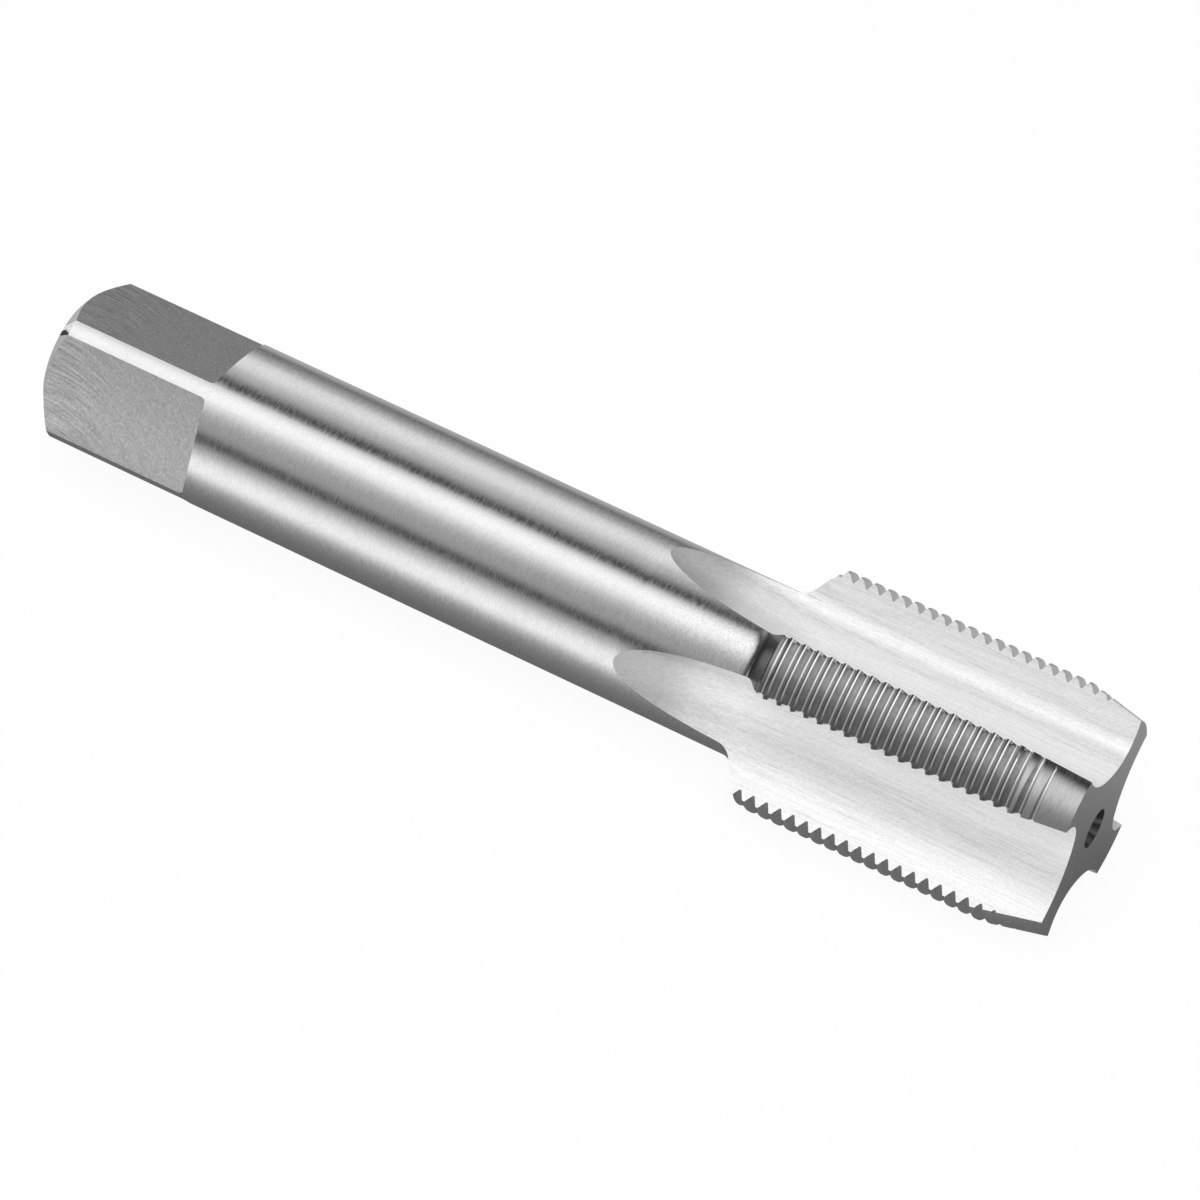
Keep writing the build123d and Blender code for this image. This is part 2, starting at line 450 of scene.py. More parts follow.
def squareColumns():
    # Columns of one quarter, from the middle of a flat over its corner strip to the middle of the next.
    # A flat's are at the sideways distances w (1 - (1 - s)^p), and a strip's at even turns. Each has a
    # turn and a radius on the square, and a turn on the shank's rim.
    reach = math.sqrt(size["shankRadius"] ** 2 - size["flatDistance"] ** 2)
    half = math.asin(reach / size["shankRadius"])
    flatCells = (tapGrid["landCells"] - tapGrid["stripCells"]) // 2
    first = reach * (1 - np.linspace(1, 0, flatCells + 1) ** tapGrid["flatSpread"])
    after = -first[::-1]
    strip = np.linspace(half, quarter - half, tapGrid["stripCells"] + 1)[1:-1]
    firstRim, afterRim = (np.arcsin(side / size["shankRadius"]) for side in (first, after))
    firstTurn, afterTurn = (np.arctan2(side, size["flatDistance"]) for side in (first, after))
    isFlat = np.repeat([True, False, True], [len(first), len(strip), len(after)])
    sideways = np.concatenate([first, np.full(len(strip), reach), after])
    return {
        "isFlat": isFlat,
        "sideways": sideways,
        "rim": np.concatenate([firstRim, strip, quarter + afterRim]),
        "turn": np.concatenate([firstTurn, strip, quarter + afterTurn]),
        "radius": np.where(isFlat, np.hypot(size["flatDistance"], sideways), size["shankRadius"]),
    }


def centreHole(inwards, face):
    # Places and radii of the centre hole's outline: mouth, cone, pilot and its drilled tip.
    wide, narrow = size["mouthRadius"], size["pilotRadius"]
    cone = (wide - narrow) / math.tan(math.radians(size["coneAngle"] / 2))
    pilotEnd = size["pilotDepth"] - narrow / math.tan(math.radians(size["pilotTipAngle"] / 2))
    near, far = tapGrid["pilotGaps"]
    depth = np.array([0, cone / 2, cone, cone + near, pilotEnd - far, pilotEnd, size["pilotDepth"]])
    radius = np.array([wide, (wide + narrow) / 2, narrow, narrow, narrow, narrow, 0])
    return face + inwards * depth, radius


def buildDriveEnd(number, columns, turn, flatCell):
    # Rings about the axis, from the centre hole's tip out over the end face and the bevel.
    # The spot painted dark is a triangle of cells, with one row more in each cell.
    drive, faceRadius = size["driveFace"], size["faceRadius"]
    holeX, holeRadius = (values[::-1, None] for values in centreHole(1, drive))
    hole = aroundAxis(holeX, holeRadius, turn)
    rings = np.linspace(size["mouthRadius"], faceRadius, tapGrid["faceRows"])[:, None]
    face = aroundAxis(drive, rings, turn)
    share = shares(tapGrid["bevelRows"])[:, None]
    radius = between(faceRadius, columns["radius"], share)
    bevel = aroundAxis(drive + (radius - faceRadius) * size["bevelSlope"], radius, turn)
    darkSpotCell = np.cumsum(~flatCell, 1) - tapGrid["beforeDarkSpot"]
    row = np.arange(tapGrid["bevelRows"])[:, None]
    darkSpot = (darkSpotCell > 0) & (row <= darkSpotCell) & ~flatCell & (number == tapGrid["darkSpotQuarter"])
    bevelZone = np.where(darkSpot, zones["bevelCorner"], np.where(flatCell, zones["bevel"], zones["bevelStrip"]))
    return [
        patch(hole, zones["hole"], holeX - drive, turn * size["mouthRadius"]),
        patch(face, zones["driveFace"], face[..., 1], face[..., 2]),
        patch(bevel, bevelZone, bevel[..., 0], turn * size["shankRadius"]),
    ]


def buildSquareAndShank(number, tip, tipTurn):
    # The flats run from the bevel to the mill's circle, and a step there rises to the shank. The
    # circle is sqrt(M^2 - side^2) - M, less c - sqrt(c^2 - past^2) for the rounding of the corners.
    # The shank's columns turn slowly, by 3 s^2 - 2 s^3, from the square's places to the flutes' tips.
    columns = squareColumns()
    isFlat, flatRadius, side = columns["isFlat"], columns["radius"], np.abs(columns["sideways"])
    base = math.radians(size["squareTurn"]) + number * quarter
    turn, rimTurn = base + columns["turn"], base + columns["rim"]
    rimMap = rimTurn * size["shankRadius"]
    flatCell = (isFlat[:-1] & isFlat[1:])[None, :]
    parts = buildDriveEnd(number, columns, turn, flatCell)
    mill, corner = size["flatMillRadius"], size["flatCorner"]
    flatStart = size["driveFace"] + (flatRadius - size["faceRadius"]) * size["bevelSlope"]
    flatEnd = size["squareEnd"] - mill + np.sqrt(mill ** 2 - side ** 2)
    past = np.maximum(side - (side.max() - corner), 0)
    flatEnd = flatEnd - corner + np.sqrt(np.maximum(corner ** 2 - past ** 2, 0))
    xs = between(flatStart, flatEnd, shares(tapGrid["flatRows"])[:, None])
    flatZone = np.where(flatCell, zones["flat"], zones["shank"])
    flatMap = np.where(isFlat, columns["sideways"], rimMap)
    parts.append(patch(aroundAxis(xs, flatRadius, turn), flatZone, xs, flatMap))
    share = shares(tapGrid["stepRows"])[:, None]
    low, high = aroundAxis(flatEnd, flatRadius, turn), aroundAxis(flatEnd, size["shankRadius"], rimTurn)
    parts.append(patch(between(low, high, share[..., None]), zones["flatWall"], share, rimMap))
    share = shares(tapGrid["shankRows"])[:, None]
    xs = between(flatEnd, tip, share)
    tipTurns = tipTurn + number * quarter + np.linspace(0, quarter, tapGrid["landCells"] + 1)
    turns = between(rimTurn, tipTurns, share * share * (3 - 2 * share))
    shank = aroundAxis(xs, size["shankRadius"], turns)
    parts.append(patch(shank, zones["shank"], xs, turns * size["shankRadius"]))
    return parts


def inFace(outline):
    # Points of the cutting face from their two coordinates across the axis.
    return np.concatenate([np.full(outline.shape[:2] + (1,), size["cuttingFace"]), outline], -1)


def buildCuttingFace(number, flutes, lands):
    # Each land's end is a web between its two walls: row by row from the crest down to the floors,
    # bulged by (1 - s)^2 of what the crest's arc stands over its chord.
    # Inside it, rings shrink to the centre hole's mouth.
    cells, face = tapGrid["wallCells"], size["cuttingFace"]
    following = (number + 1) % landCount
    flat = np.full(cells + 1, face)
    left = onFlute(number, flutes[number]["station"][-1, ::-1][:cells + 1], flat)[:, None, 1:]
    right = onFlute(following, flutes[following]["station"][-1, :cells + 1], flat)[:, None, 1:]
    share = shares(tapGrid["landCells"])
    web = between(left, right, share[None, :, None])
    rim = aroundAxis(*(lands[number][key][-1] for key in ("x", "radius", "turn")))[:, 1:]
    web = web + (rim - web[0])[None] * np.linspace(1, 0, cells + 1)[:, None, None] ** 2
    inner = web[-1]
    turn = np.unwrap(np.arctan2(inner[:, 1], inner[:, 0]))
    mouth = size["mouthRadius"] * np.stack([np.cos(turn), np.sin(turn)], -1)
    ring = between(inner[None], mouth[None], np.linspace(0, 1, tapGrid["faceRows"])[:, None, None])
    holeX, holeRadius = (values[:, None] for values in centreHole(-1, face))
    return [
        patch(inFace(web), zones["cuttingFace"], web[..., 0], web[..., 1]),
        patch(inFace(ring), zones["cuttingFace"], ring[..., 0], ring[..., 1]),
        patch(aroundAxis(holeX, holeRadius, turn), zones["hole"], holeX - face, turn * size["mouthRadius"]),
    ]


def joinPatches(name, parts):
    # Every patch is a quad grid. Shared edges are merged, and rows that shrink to nothing go with them.
    points, faces, zone, maps, first = [], [], [], [], 0
    for part in parts:
        rows, columns = part["points"].shape[:2]
        index = first + np.arange(rows * columns).reshape(rows, columns)
        quads = np.stack([index[:-1, :-1], index[:-1, 1:], index[1:, 1:], index[1:, :-1]], -1).reshape(-1, 4)
        points.append(part["points"].reshape(-1, 3))
        faces.append(quads)
        zone.append(part["zone"].reshape(-1))
        maps.append(part["map"].reshape(-1, 2))
        first += rows * columns
    points, faces, zone, maps = (np.concatenate(a) for a in (points, faces, zone, maps))
    mesh = bpy.data.meshes.new(name)
    mesh.vertices.add(len(points))
    mesh.vertices.foreach_set("co", (points * milli).astype(np.float32).ravel())
    mesh.loops.add(faces.size)
    mesh.loops.foreach_set("vertex_index", faces.astype(np.int32).ravel())
    mesh.polygons.add(len(faces))
    mesh.polygons.foreach_set("loop_start", np.arange(0, faces.size, 4, dtype=np.int32))
    mesh.polygons.foreach_set("loop_total", np.full(len(faces), 4, np.int32))
    mesh.update(calc_edges=True)
    layer = mesh.uv_layers.new(name="surfaceMap")
    layer.uv.foreach_set("vector", (maps[faces.ravel()] * milli).astype(np.float32).ravel())
    mesh.attributes.new("zone", "INT", "FACE").data.foreach_set("value", zone.astype(np.int32))
    grid = bmesh.new()
    grid.from_mesh(mesh)
    bmesh.ops.remove_doubles(grid, verts=grid.verts, dist=tapGrid["mergeDistance"])
    bmesh.ops.dissolve_degenerate(grid, edges=grid.edges, dist=tapGrid["emptyEdge"])
    grid.to_mesh(mesh)
    grid.free()
    mesh.update()
    mesh.validate()
    return mesh


def readZones(mesh):
    # The zone of each face
    zone = np.empty(len(mesh.polygons), np.int32)
    mesh.attributes["zone"].data.foreach_get("value", zone)
    return zone


def markEdges(mesh):
    # An edge is sharp where two zones meet, or where its faces turn by more than the limit: n1 . n2 is
    # less than its cosine. The shank runs on smoothly into the shoulder. The roots' edges and the back
    # edge of each crest are shaded round, and the back half of each crest has painted shade, so only a
    # thin line of root and crest is bright.
    smoothPairs = [("shank", "shoulder")]
    roundPairs = [("flankBack", "crestBackPaintedShade"), ("flankBack", "root"), ("flank", "root")]
    faceCount = len(mesh.polygons)
    totals = np.empty(faceCount, np.int32)
    mesh.polygons.foreach_get("loop_total", totals)
    normals = np.empty(faceCount * 3, np.float32)
    mesh.polygons.foreach_get("normal", normals)
    normals = normals.reshape(-1, 3)
    edges = np.empty(len(mesh.loops), np.int32)
    mesh.loops.foreach_get("edge_index", edges)
    zone = readZones(mesh)
    owner = np.repeat(np.arange(faceCount), totals)
    order = np.argsort(edges, kind="stable")
    sortedEdges, sortedOwner = edges[order], owner[order]
    pairs = np.flatnonzero(sortedEdges[:-1] == sortedEdges[1:])
    one, other = sortedOwner[pairs], sortedOwner[pairs + 1]
    limit = math.cos(math.radians(tapGrid["sharpTurn"]))
    turned = np.einsum("ij,ij->i", normals[one], normals[other]) < limit

    def joins(names):
        # Whether an edge lies between the two zones of any of the pairs
        found = np.zeros(len(pairs), bool)
        for a, b in ((zones[a], zones[b]) for a, b in names):
            found |= (zone[one] == a) & (zone[other] == b) | (zone[one] == b) & (zone[other] == a)
        return found

    differs = (zone[one] != zone[other]) & ~joins(smoothPairs)
    sharp = np.zeros(len(mesh.edges), bool)
    sharp[sortedEdges[pairs]] = (turned | differs) & ~joins(roundPairs)
    mesh.polygons.foreach_set("use_smooth", np.ones(faceCount, bool))
    attribute = mesh.attributes.get("sharp_edge") or mesh.attributes.new("sharp_edge", "BOOLEAN", "EDGE")
    attribute.data.foreach_set("value", sharp)
    return len(mesh.edges) - len(np.unique(sortedEdges[pairs]))


def buildTap():
    # One closed surface: lands, flutes, and the quarters of the shank with its square and of both ends.
    tip = runOutTip()
    tipPlace = np.array([tip])
    tipTurn = math.radians(size["fluteTurn"]) + float(wallTurn(deepestStation(tipPlace), tipPlace)[0])
    lands = buildLands(tip)
    flutes = buildFlutes(lands)
    parts = []
    for land in lands:
        points = aroundAxis(land["x"], land["radius"], land["turn"])
        parts.append(patch(points, land["zone"], land["x"], land["turn"] * size["majorRadius"]))
    for number, flute in enumerate(flutes):
        points = onFlute(number, flute["station"], flute["x"])
        around = flute["station"] + tapGrid["fluteApart"] * number
        parts.append(patch(points, zones["flute"], flute["x"], around))
    for number in range(landCount):
        parts += buildSquareAndShank(number, tip, tipTurn)
        parts += buildCuttingFace(number, flutes, lands)
    mesh = joinPatches("tapSurface", parts)
    openEdges = markEdges(mesh)
    tap = bpy.data.objects.new("tapSurface", mesh)
    bpy.context.scene.collection.objects.link(tap)
    triangles = len(mesh.loops) - 2 * len(mesh.polygons)
    counts = [len(mesh.vertices), "points", triangles, "triangles", openEdges, "open edges"]
    print("tap surface", *counts, "run-outs' tips at", round(tip, 3))
    return tap


tap = buildTap()

# Finishes. Object coordinates are metres, so a pattern's frequency is in waves per metre.
# The lists of pairs give a level by metres along the tool.
steelFinish = {
    "shankColour": 0.86,
    "shankRoughness": 0.20,
    "speckShare": [(0.0, 0.04), (0.024, 0.05), (0.034, 0.11), (0.041, 0.16)],
    "fluteColour": 0.865,
    "fluteRoughness": 0.42,
    "fluteMetal": 0.45,
    # Painted shade: each flute darkens towards its run-out, by metres along the tool
    "runOutPaintedShade": [(0.025, 0.55), (0.030, 0.64), (0.034, 0.95), (0.038, 1.03)],
    "flatColour": 0.475,
    "flatRoughness": 0.29,
    "millBend": (-0.14, 0.043),     # slope of the mill's lines at the drive end, and how fast they bend
    "millReach": 10.0,              # they fade this far from the drive end, in millimetres
    "millTone": 0.11,               # how far they lighten and darken the flat
    "threadColour": 0.92,
    "threadRoughness": 0.10,
    "flankColour": 0.78,
    "flankBackColour": 0.36,        # painted shade on the flanks that face the drive end and on the back half of each crest
    "flankRoughness": 0.09,
    "flankBackRoughness": 0.09,
    "leadColour": 0.74,
    "leadRoughness": 0.16,
    "faceColour": 0.74,
    "faceRoughness": 0.45,
    "bevelColour": 0.74,
    "bevelRoughness": 0.45,
    "bevelMetal": 0.45,
    "stripColour": 0.90,            # painted highlight: the bevel at the square's four corners, a matt white
    "stripRoughness": 0.45,
    "stripMetal": 0.0,
    "shoulderColour": 0.22,
    "shoulderRoughness": 0.24,
    # Painted shade: the centre holes are painted nearly black
    "holeColour": 0.10,
    "holeRoughness": 0.25,
    "cornerColour": 0.10,           # of the small triangle painted dark in one corner of the drive end
    "cornerRoughness": 0.45,
}
bumpDetail = 2.0                    # of the noise that gives a finish its height


def newMaterial(name):
    # A material, its node tree and its shader
    material = bpy.data.materials.new(name)
    material.use_nodes = True
    tree = material.node_tree
    return material, tree, tree.nodes["Principled BSDF"]


def addNode(tree, kind, settings=None, **inputs):
    # Each input is a socket to link or a value to set. i0, i1 and so on name inputs by their place.
    node = tree.nodes.new(kind)
    for key, value in (settings or {}).items():
        setattr(node, key, value)
    for key, value in inputs.items():
        socket = node.inputs[int(key[1:])] if key[0] == "i" and key[1:].isdigit() else node.inputs[key]
        if isinstance(value, bpy.types.NodeSocket):
            tree.links.new(value, socket)
        else:
            socket.default_value = value
    return node


def maths(tree, operation, *values):
    # One step of arithmetic on sockets and numbers
    inputs = {"i" + str(place): value for place, value in enumerate(values)}
    return addNode(tree, "ShaderNodeMath", {"operation": operation}, **inputs).outputs[0]


def split(tree, kind, output, **settings):
    # The three parts of a coordinate
    place = addNode(tree, kind, settings)
    return addNode(tree, "ShaderNodeSeparateXYZ", Vector=place.outputs[output]).outputs


def noiseAt(tree, place, detail, rough):
    # Soft noise, which mostly lies in 0.3 to 0.7
    settings = {"Vector": place, "Scale": 1.0, "Detail": detail, "Roughness": rough}
    return addNode(tree, "ShaderNodeTexNoise", **settings).outputs["Fac"]


def grain(tree, scale, detail=3.0, rough=0.6):
    # Noise in object coordinates, stretched by a frequency for each axis
    place = addNode(tree, "ShaderNodeTexCoord").outputs["Object"]
    stretched = addNode(tree, "ShaderNodeMapping", Vector=place, Scale=scale).outputs["Vector"]
    return noiseAt(tree, stretched, detail, rough)


def ranged(tree, value, low, high, fromLow=0.3, fromHigh=0.7):
    # low + (high - low) (value - fromLow) / (fromHigh - fromLow), held between low and high.
    ends = {"From Min": fromLow, "From Max": fromHigh, "To Min": low, "To Max": high}
    return addNode(tree, "ShaderNodeMapRange", Value=value, **ends).outputs["Result"]


def about(tree, noise, middle, spread):
    # A level that swings with the noise round its middle
    return ranged(tree, noise, middle - spread, middle + spread)


def levelRamp(tree, value, stops, low, high):
    # A colour ramp of grey levels over a value that runs from low to high
    ramp = addNode(tree, "ShaderNodeValToRGB", Fac=ranged(tree, value, 0.0, 1.0, low, high))
    elements = ramp.color_ramp.elements
    while len(elements) < len(stops):
        elements.new(0.5)
    for element, (place, level) in zip(elements, stops):
        element.position = (place - low) / (high - low)
        element.color = (level, level, level, 1)
    return ramp.outputs["Color"]


def alongTool(tree, stops):
    # A level by the place along the tool's axis
    return levelRamp(tree, split(tree, "ShaderNodeTexCoord", "Object")["X"], stops, stops[0][0], stops[-1][0])


def grey(tree, value):
    # The same level in all three colours
    return addNode(tree, "ShaderNodeCombineColor", Red=value, Green=value, Blue=value).outputs["Color"]


def finishWith(name, metal, tone, roughness, height, depth):
    # tone, roughness and height are functions that add nodes to the tree and give back a value.
    material, tree, shader = newMaterial(name)
    tree.links.new(grey(tree, tone(tree)), shader.inputs["Base Color"])
    tree.links.new(roughness(tree), shader.inputs["Roughness"])
    shader.inputs["Metallic"].default_value = metal
    bump = addNode(tree, "ShaderNodeBump", Height=height(tree), Distance=depth, Strength=1.0)
    tree.links.new(bump.outputs["Normal"], shader.inputs["Normal"])
    return material


def groundShank():
    # Fine grinding lines run round the shank, short and close, over a faint cloudiness, and specks grow
    # towards the shoulder: tone = lines + cloud + specks x their share at that place.
    f = steelFinish
    fine, cloud, specks = (6500, 1300, 1300), (260, 120, 120), (4600, 4600, 4600)
    lineTone, cloudTone, roughSpread, lineDepth = 0.08, 0.02, 0.05, 1.4e-6

    def tone(tree):
        lines = about(tree, grain(tree, fine), 0.0, lineTone)
        soft = about(tree, grain(tree, cloud), f["shankColour"], cloudTone)
        dots = about(tree, grain(tree, specks, 2.0), 0.0, 1.0)
        dots = maths(tree, "MULTIPLY", dots, alongTool(tree, f["speckShare"]))
        return maths(tree, "ADD", maths(tree, "ADD", lines, soft), dots)

    return finishWith(
        "groundShank", 1.0, tone,
        lambda tree: about(tree, grain(tree, fine), f["shankRoughness"], roughSpread),
        lambda tree: grain(tree, fine, bumpDetail), lineDepth)


def groundFlute():
    # Long scratches run along the flutes: broad faint ones, narrow ones, and a few deep ones where the
    # noise is lowest. tone = (colour + scratches) x a painted shade that darkens each flute towards its
    # run-out.
    f = steelFinish
    broad, narrow, fine, deep = (60, 900, 900), (160, 6500, 6500), (2600, 7500, 7500), (110, 4600, 4600)
    broadTone, narrowTone, fineTone, deepTone = 0.025, 0.10, 0.09, 0.20
    deepLow, deepHigh = 0.20, 0.30
    roughSpread, scratchDepth = 0.08, 3.0e-6

    def tone(tree):
        soft = about(tree, grain(tree, broad), 0.0, broadTone)
        lines = about(tree, grain(tree, narrow), 0.0, narrowTone)
        specks = about(tree, grain(tree, fine), 0.0, fineTone)
        cuts = ranged(tree, grain(tree, deep, 1.0), -deepTone, 0.0, deepLow, deepHigh)
        marks = maths(tree, "ADD", maths(tree, "ADD", soft, lines), maths(tree, "ADD", specks, cuts))
        marks = maths(tree, "ADD", marks, f["fluteColour"])
        return maths(tree, "MULTIPLY", marks, alongTool(tree, f["runOutPaintedShade"]))

    return finishWith(
        "groundFlute", f["fluteMetal"], tone,
        lambda tree: about(tree, grain(tree, narrow), f["fluteRoughness"], roughSpread),
        lambda tree: grain(tree, narrow, bumpDetail), scratchDepth)


def milledFlat():
    # The mill's lines start along the tool and bend across it: across - (a x + b x x) stays level on a
    # line. They are noise of that and, slowly, of x, and they fade along the flat.
    f = steelFinish
    alongScale, acrossScale = 0.22, 3.4                 # waves per millimetre
    lineLow, lineHigh, lineDetail, lineRough = 0.32, 0.68, 1.5, 0.5
    fadeStart, fadeEnd, fadeLeft = f["millReach"] * 0.35, f["millReach"], 0.25
    speckle, rough, bumps = (4300,) * 3, (2600,) * 3, (4200,) * 3
    speckTone, roughSpread, lineBump, bumpDepth = 0.09, 0.06, 0.6, 4.0e-6

    def lines(tree):
        parts = split(tree, "ShaderNodeUVMap", "UV", uv_map="surfaceMap")
        along = maths(tree, "SUBTRACT", maths(tree, "DIVIDE", parts["X"], milli), size["driveFace"])
        slope = maths(tree, "MULTIPLY_ADD", along, f["millBend"][1], f["millBend"][0])
        bent = maths(tree, "MULTIPLY", along, slope)
        across = maths(tree, "SUBTRACT", maths(tree, "DIVIDE", parts["Y"], milli), bent)
        slow, fast = maths(tree, "MULTIPLY", along, alongScale), maths(tree, "MULTIPLY", across, acrossScale)
        place = addNode(tree, "ShaderNodeCombineXYZ", X=slow, Y=fast).outputs[0]
        marks = noiseAt(tree, place, lineDetail, lineRough)
        fade = ranged(tree, along, 1.0, fadeLeft, fadeStart, fadeEnd)
        return maths(tree, "MULTIPLY", ranged(tree, marks, -1.0, 1.0, lineLow, lineHigh), fade)

    def tone(tree):
        speckled = about(tree, grain(tree, speckle), f["flatColour"], speckTone)
        return maths(tree, "MULTIPLY_ADD", lines(tree), f["millTone"], speckled)

    return finishWith(
        "milledFlat", 1.0, tone,
        lambda tree: about(tree, grain(tree, rough), f["flatRoughness"], roughSpread),
        lambda tree: maths(tree, "MULTIPLY_ADD", lines(tree), lineBump, grain(tree, bumps, bumpDetail)),
        bumpDepth)


def partFinish(part):
    # The colour, roughness and share of metal of a part, by the start of their names
    f = steelFinish
    return f[part + "Colour"], f[part + "Roughness"], f.get(part + "Metal", 1.0)


def groundThread(name, part):
    # The teeth are ground round the tool, so their lines follow the turn.
    colour, roughness, metal = partFinish(part)
    fine, tones = (7000, 900, 900), (5200, 900, 900)
    toneSpread, smoother, rougher, lineDepth = 0.08, 0.03, 0.05, 0.6e-6
    return finishWith(
        name, metal,
        lambda tree: about(tree, grain(tree, tones), colour, toneSpread),
        lambda tree: ranged(tree, grain(tree, fine), roughness - smoother, roughness + rougher),
        lambda tree: grain(tree, fine, bumpDetail), lineDepth)


def plainFinish(name, part):
    # Turned or drilled steel with a slight even mottle
    colour, roughness, metal = partFinish(part)
    mottle, rough, bumps = (2200,) * 3, (2600,) * 3, (4200,) * 3
    mottleShare, roughSpread, bumpDepth = 0.07, 0.05, 1.5e-6
    return finishWith(
        name, metal,
        lambda tree: about(tree, grain(tree, mottle), colour, colour * mottleShare),
        lambda tree: about(tree, grain(tree, rough), roughness, roughSpread),
        lambda tree: grain(tree, bumps, bumpDetail), bumpDepth)


def paintTap(tap):
    # Each finish with the zones that have it
    finishes = [
        (groundShank(), ["shank"]),
        (milledFlat(), ["flat", "flatWall"]),
        (groundFlute(), ["flute"]),
        (groundThread("groundCrest", "thread"), ["crest", "root"]),
        (plainFinish("facedEnd", "face"), ["driveFace", "cuttingFace"]),
        # Painted shade: the centre holes are nearly black
        (plainFinish("holeInPaintedShade", "hole"), ["hole"]),
        (plainFinish("darkCorner", "corner"), ["bevelCorner"]),
        (plainFinish("turnedBevel", "bevel"), ["bevel"]),
        (groundThread("groundFlank", "flank"), ["flank"]),
        (groundThread("groundLead", "lead"), ["lead"]),
        # Painted highlight: the bevel at the square's four corners is matt white
        (plainFinish("paintedHighlightCorner", "strip"), ["bevelStrip"]),
        (plainFinish("darkShoulder", "shoulder"), ["shoulder"]),
        # Painted shade: the flanks that face the drive end and the back half of each crest are darker than
        # the same steel elsewhere
        (groundThread("flankAndCrestPaintedShade", "flankBack"), ["flankBack", "crestBackPaintedShade"]),
    ]
    slotOf = np.zeros(len(zones), np.int32)
    for slot, (material, names) in enumerate(finishes):
        tap.data.materials.append(material)
        slotOf[[zones[name] for name in names]] = slot
    tap.data.polygons.foreach_set("material_index", slotOf[readZones(tap.data)])
    print("finishes", [material.name for material, _ in finishes])


paintTap(tap)
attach(tap, "root")
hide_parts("tap")

studio = {
    "floorHalf": 1.2,
    "floorPoints": 9,           # along each side of the floor's grid
    "floorDrop": 0.00002,       # below the lands' lowest points
    "floorColour": 0.86,
    "floorSpread": 0.01,
    "floorRoughness": 0.9,
    "whiteShare": 0.95,         # how much of the floor the camera sees as plain white
    "skyLevel": 0.55,           # of the even light on matt surfaces
    "lampPower": 2.6,
    "lampSize": 0.5,
    "lampPlace": (0.02, -0.35, 0.5),
}

# Brightness of the studio round the tool's axis: degrees from straight up, positive towards the camera
studioBands = [
    (-180, 0.3), (-97, 0.28), (-88, 0.13), (-75, 0.27), (-64, 0.44), (-55, 0.74), (-46, 0.85), (-38, 0.84),
    (-30, 0.72), (-24, 0.54), (-17, 0.47), (-11, 0.31), (-6, 0.14), (-2, 0.01), (3.5, 0.01), (9, 0.62),
    (14, 0.99), (20, 1.16), (27, 1.16), (34, 1.00), (40, 0.78), (46, 0.55), (53, 0.42), (60, 0.36),
    (68, 0.37), (74, 0.27), (79, 0.08), (85, 0.06), (91, 0.22), (180, 0.3),
]

# All three by the direction's share along +X: what is left of the bands, the light at both ends of the
# axis, and how much of it takes the bands' place
studioSides = [
    (-1.0, 0.6), (-0.6, 0.85), (-0.3, 1.0), (-0.1, 0.95), (0.16, 0.72), (0.3, 0.60), (0.5, 0.70),
    (0.8, 0.85), (1.0, 0.6),
]
studioEnds = [
    (-1.0, 0.04), (-0.8, 0.04), (-0.5, 0.1), (0.5, 0.04), (0.88, 0.03), (0.95, 0.08), (0.98, 0.18),
    (1.0, 0.22),
]
studioEndShare = [(-1.0, 1.0), (-0.94, 1.0), (-0.78, 0.0), (0.82, 0.0), (0.90, 1.0), (1.0, 1.0)]

# Painted shadow and light that polished steel sees of the floor: millimetres across the tool's axis,
# negative on the camera's side. It is dark beside the tool and bright a few centimetres in front of it.
floorPaintedShadowAndLight = [
    (-200, 0.35), (-120, 0.45), (-78, 0.55), (-52, 0.76), (-39, 0.93), (-31, 1.0), (-25, 1.0), (-21.4, 0.88),
    (-17.8, 0.56), (-15.4, 0.37), (-13, 0.27), (-11, 0.22), (-9, 0.18), (-6, 0.15), (6, 0.12), (12, 0.14),
    (20, 0.25), (40, 0.45), (90, 0.4), (200, 0.3),
]


def makeWorld():
    # Polished steel sees bands of light along the tool, by the turn about its axis, and another light at
    # both ends of it: bands x sides x (1 - endShare) + ends x endShare. Matt surfaces get an even
    # light, and the camera sees plain white.
    world = bpy.data.worlds.new("studioWorld")
    bpy.context.scene.world = world
    world.use_nodes = True
    tree = world.node_tree
    tree.nodes.clear()
    parts = split(tree, "ShaderNodeTexCoord", "Generated")
    turn = maths(tree, "ARCTAN2", maths(tree, "MULTIPLY", parts["Y"], -1.0), parts["Z"])
    stops = [(math.radians(degrees), level) for degrees, level in studioBands]
    bands = levelRamp(tree, turn, stops, -math.pi, math.pi)
    sides, ends, endShare = (
        levelRamp(tree, parts["X"], levels, -1.0, 1.0)
        for levels in (studioSides, studioEnds, studioEndShare))
    banded = maths(tree, "MULTIPLY", bands, sides)
    shared = maths(tree, "MULTIPLY", banded, maths(tree, "SUBTRACT", 1.0, endShare))
    seen = maths(tree, "MULTIPLY_ADD", ends, endShare, shared)
    path = addNode(tree, "ShaderNodeLightPath").outputs
    matt = maths(tree, "SUBTRACT", 1.0, path["Is Glossy Ray"])
    even = maths(tree, "MULTIPLY", matt, studio["skyLevel"])
    lit = maths(tree, "MULTIPLY_ADD", seen, path["Is Glossy Ray"], even)
    shown = maths(tree, "MAXIMUM", lit, path["Is Camera Ray"])
    background = addNode(tree, "ShaderNodeBackground", Color=(1, 1, 1, 1), Strength=shown)
    out = addNode(tree, "ShaderNodeOutputWorld")
    tree.links.new(background.outputs[0], out.inputs["Surface"])


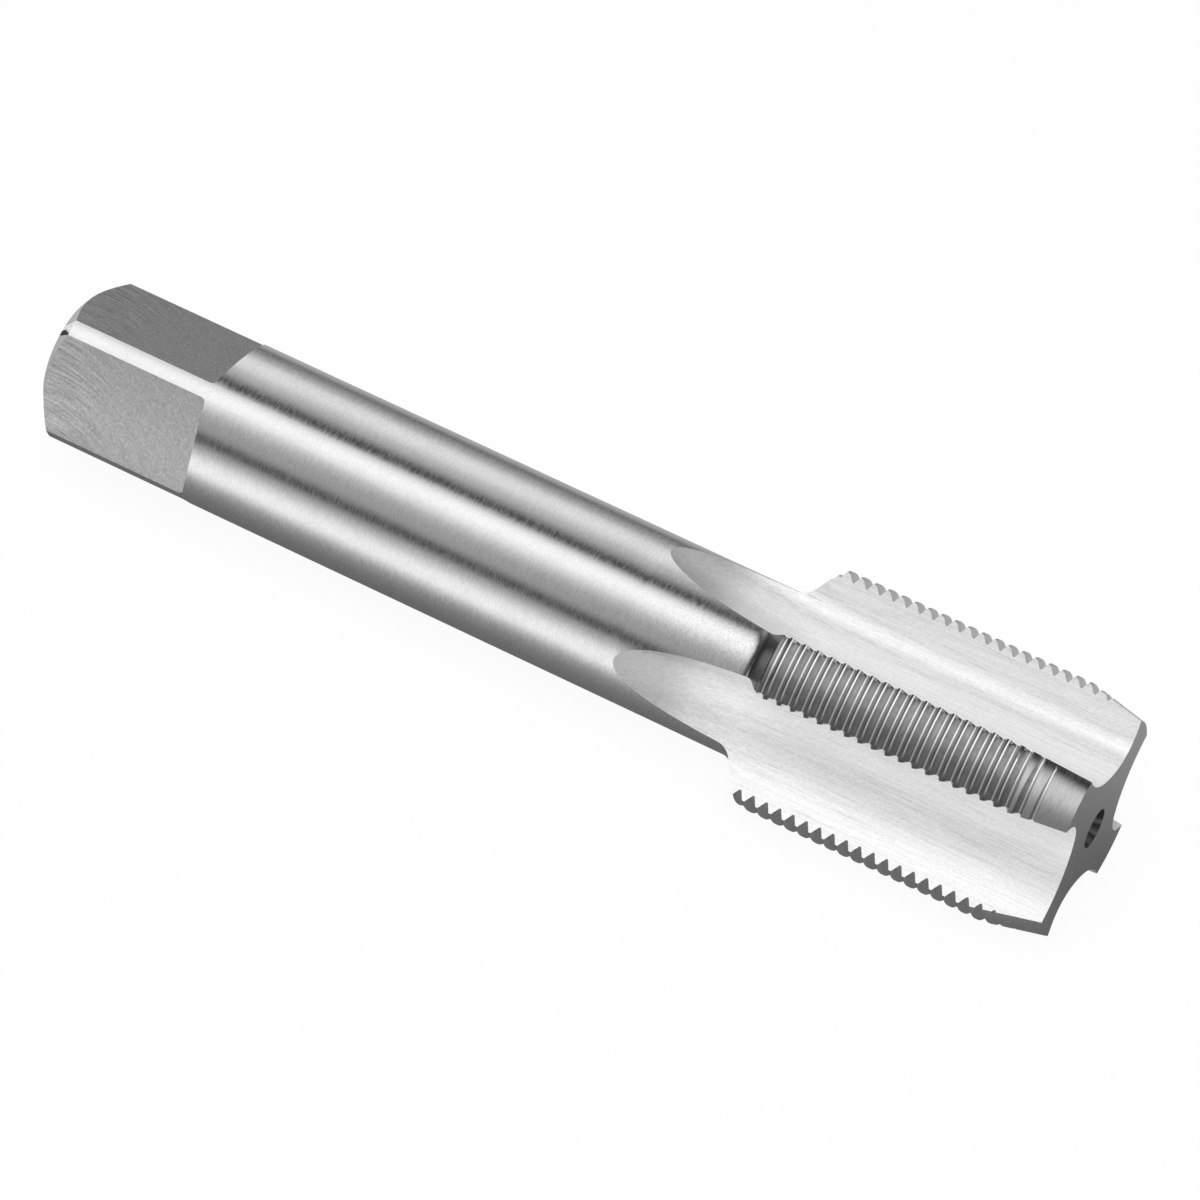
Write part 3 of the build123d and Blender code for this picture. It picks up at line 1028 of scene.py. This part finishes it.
def makeFloor():
    # A pale matt floor. The camera sees most of it as plain white, so it is white with a soft shadow.
    # For polished steel the floor glows with a painted shadow beside the tool and painted light a few
    # centimetres in front of it.
    half, count = studio["floorHalf"], studio["floorPoints"]
    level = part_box("tap")[0].z - studio["floorDrop"]
    side = np.linspace(-half, half, count)
    xs, ys = np.meshgrid(side, side, indexing="ij")
    points = np.stack([xs, ys, np.full(xs.shape, level)], -1).reshape(-1, 3)
    index = np.arange(count * count).reshape(count, count)
    faces = np.stack([index[:-1, :-1], index[1:, :-1], index[1:, 1:], index[:-1, 1:]], -1).reshape(-1, 4)
    mesh = bpy.data.meshes.new("studioFloor")
    mesh.from_pydata(points.tolist(), [], faces.tolist())
    floor = bpy.data.objects.new("studioFloor", mesh)
    bpy.context.scene.collection.objects.link(floor)
    material, tree, shader = newMaterial("paleFloor")
    tone = about(tree, grain(tree, (40, 40, 40)), studio["floorColour"], studio["floorSpread"])
    tree.links.new(grey(tree, tone), shader.inputs["Base Color"])
    shader.inputs["Roughness"].default_value = studio["floorRoughness"]
    shader.inputs["Specular IOR Level"].default_value = 0.0
    path = addNode(tree, "ShaderNodeLightPath").outputs
    across = maths(tree, "DIVIDE", split(tree, "ShaderNodeTexCoord", "Object")["Y"], milli)
    # Painted shadow and light, shown only to glossy rays
    bands = levelRamp(tree, across, floorPaintedShadowAndLight, floorPaintedShadowAndLight[0][0], floorPaintedShadowAndLight[-1][0])
    paintedForSteel = maths(tree, "MULTIPLY", bands, path["Is Glossy Ray"])
    shown = maths(tree, "MAXIMUM", path["Is Camera Ray"], paintedForSteel)
    cameraShare = maths(tree, "MULTIPLY", path["Is Camera Ray"], studio["whiteShare"])
    share = maths(tree, "MAXIMUM", cameraShare, path["Is Glossy Ray"])
    white = addNode(tree, "ShaderNodeEmission", Color=(1, 1, 1, 1), Strength=shown)
    mixed = addNode(tree, "ShaderNodeMixShader", Fac=share)
    tree.links.new(shader.outputs[0], mixed.inputs[1])
    tree.links.new(white.outputs[0], mixed.inputs[2])
    tree.links.new(mixed.outputs[0], tree.nodes["Material Output"].inputs["Surface"])
    mesh.materials.append(material)


def makeLamp():
    # One large soft lamp, above and a little in front, lights the floor and the matt surfaces. It turns
    # about X until it points at the axis.
    lamp = bpy.data.lights.new("softLamp", "AREA")
    lamp.shape = "DISK"
    lamp.size = studio["lampSize"]
    lamp.energy = studio["lampPower"]
    holder = bpy.data.objects.new("softLamp", lamp)
    holder.location = studio["lampPlace"]
    tilt = math.atan2(studio["lampPlace"][1], -studio["lampPlace"][2]) + math.pi
    holder.rotation_euler = (tilt, 0.0, 0.0)
    holder.visible_glossy = False
    bpy.context.scene.collection.objects.link(holder)


makeWorld()
makeFloor()
makeLamp()
bpy.context.scene.view_settings.view_transform = "Standard"
print("studio ready")
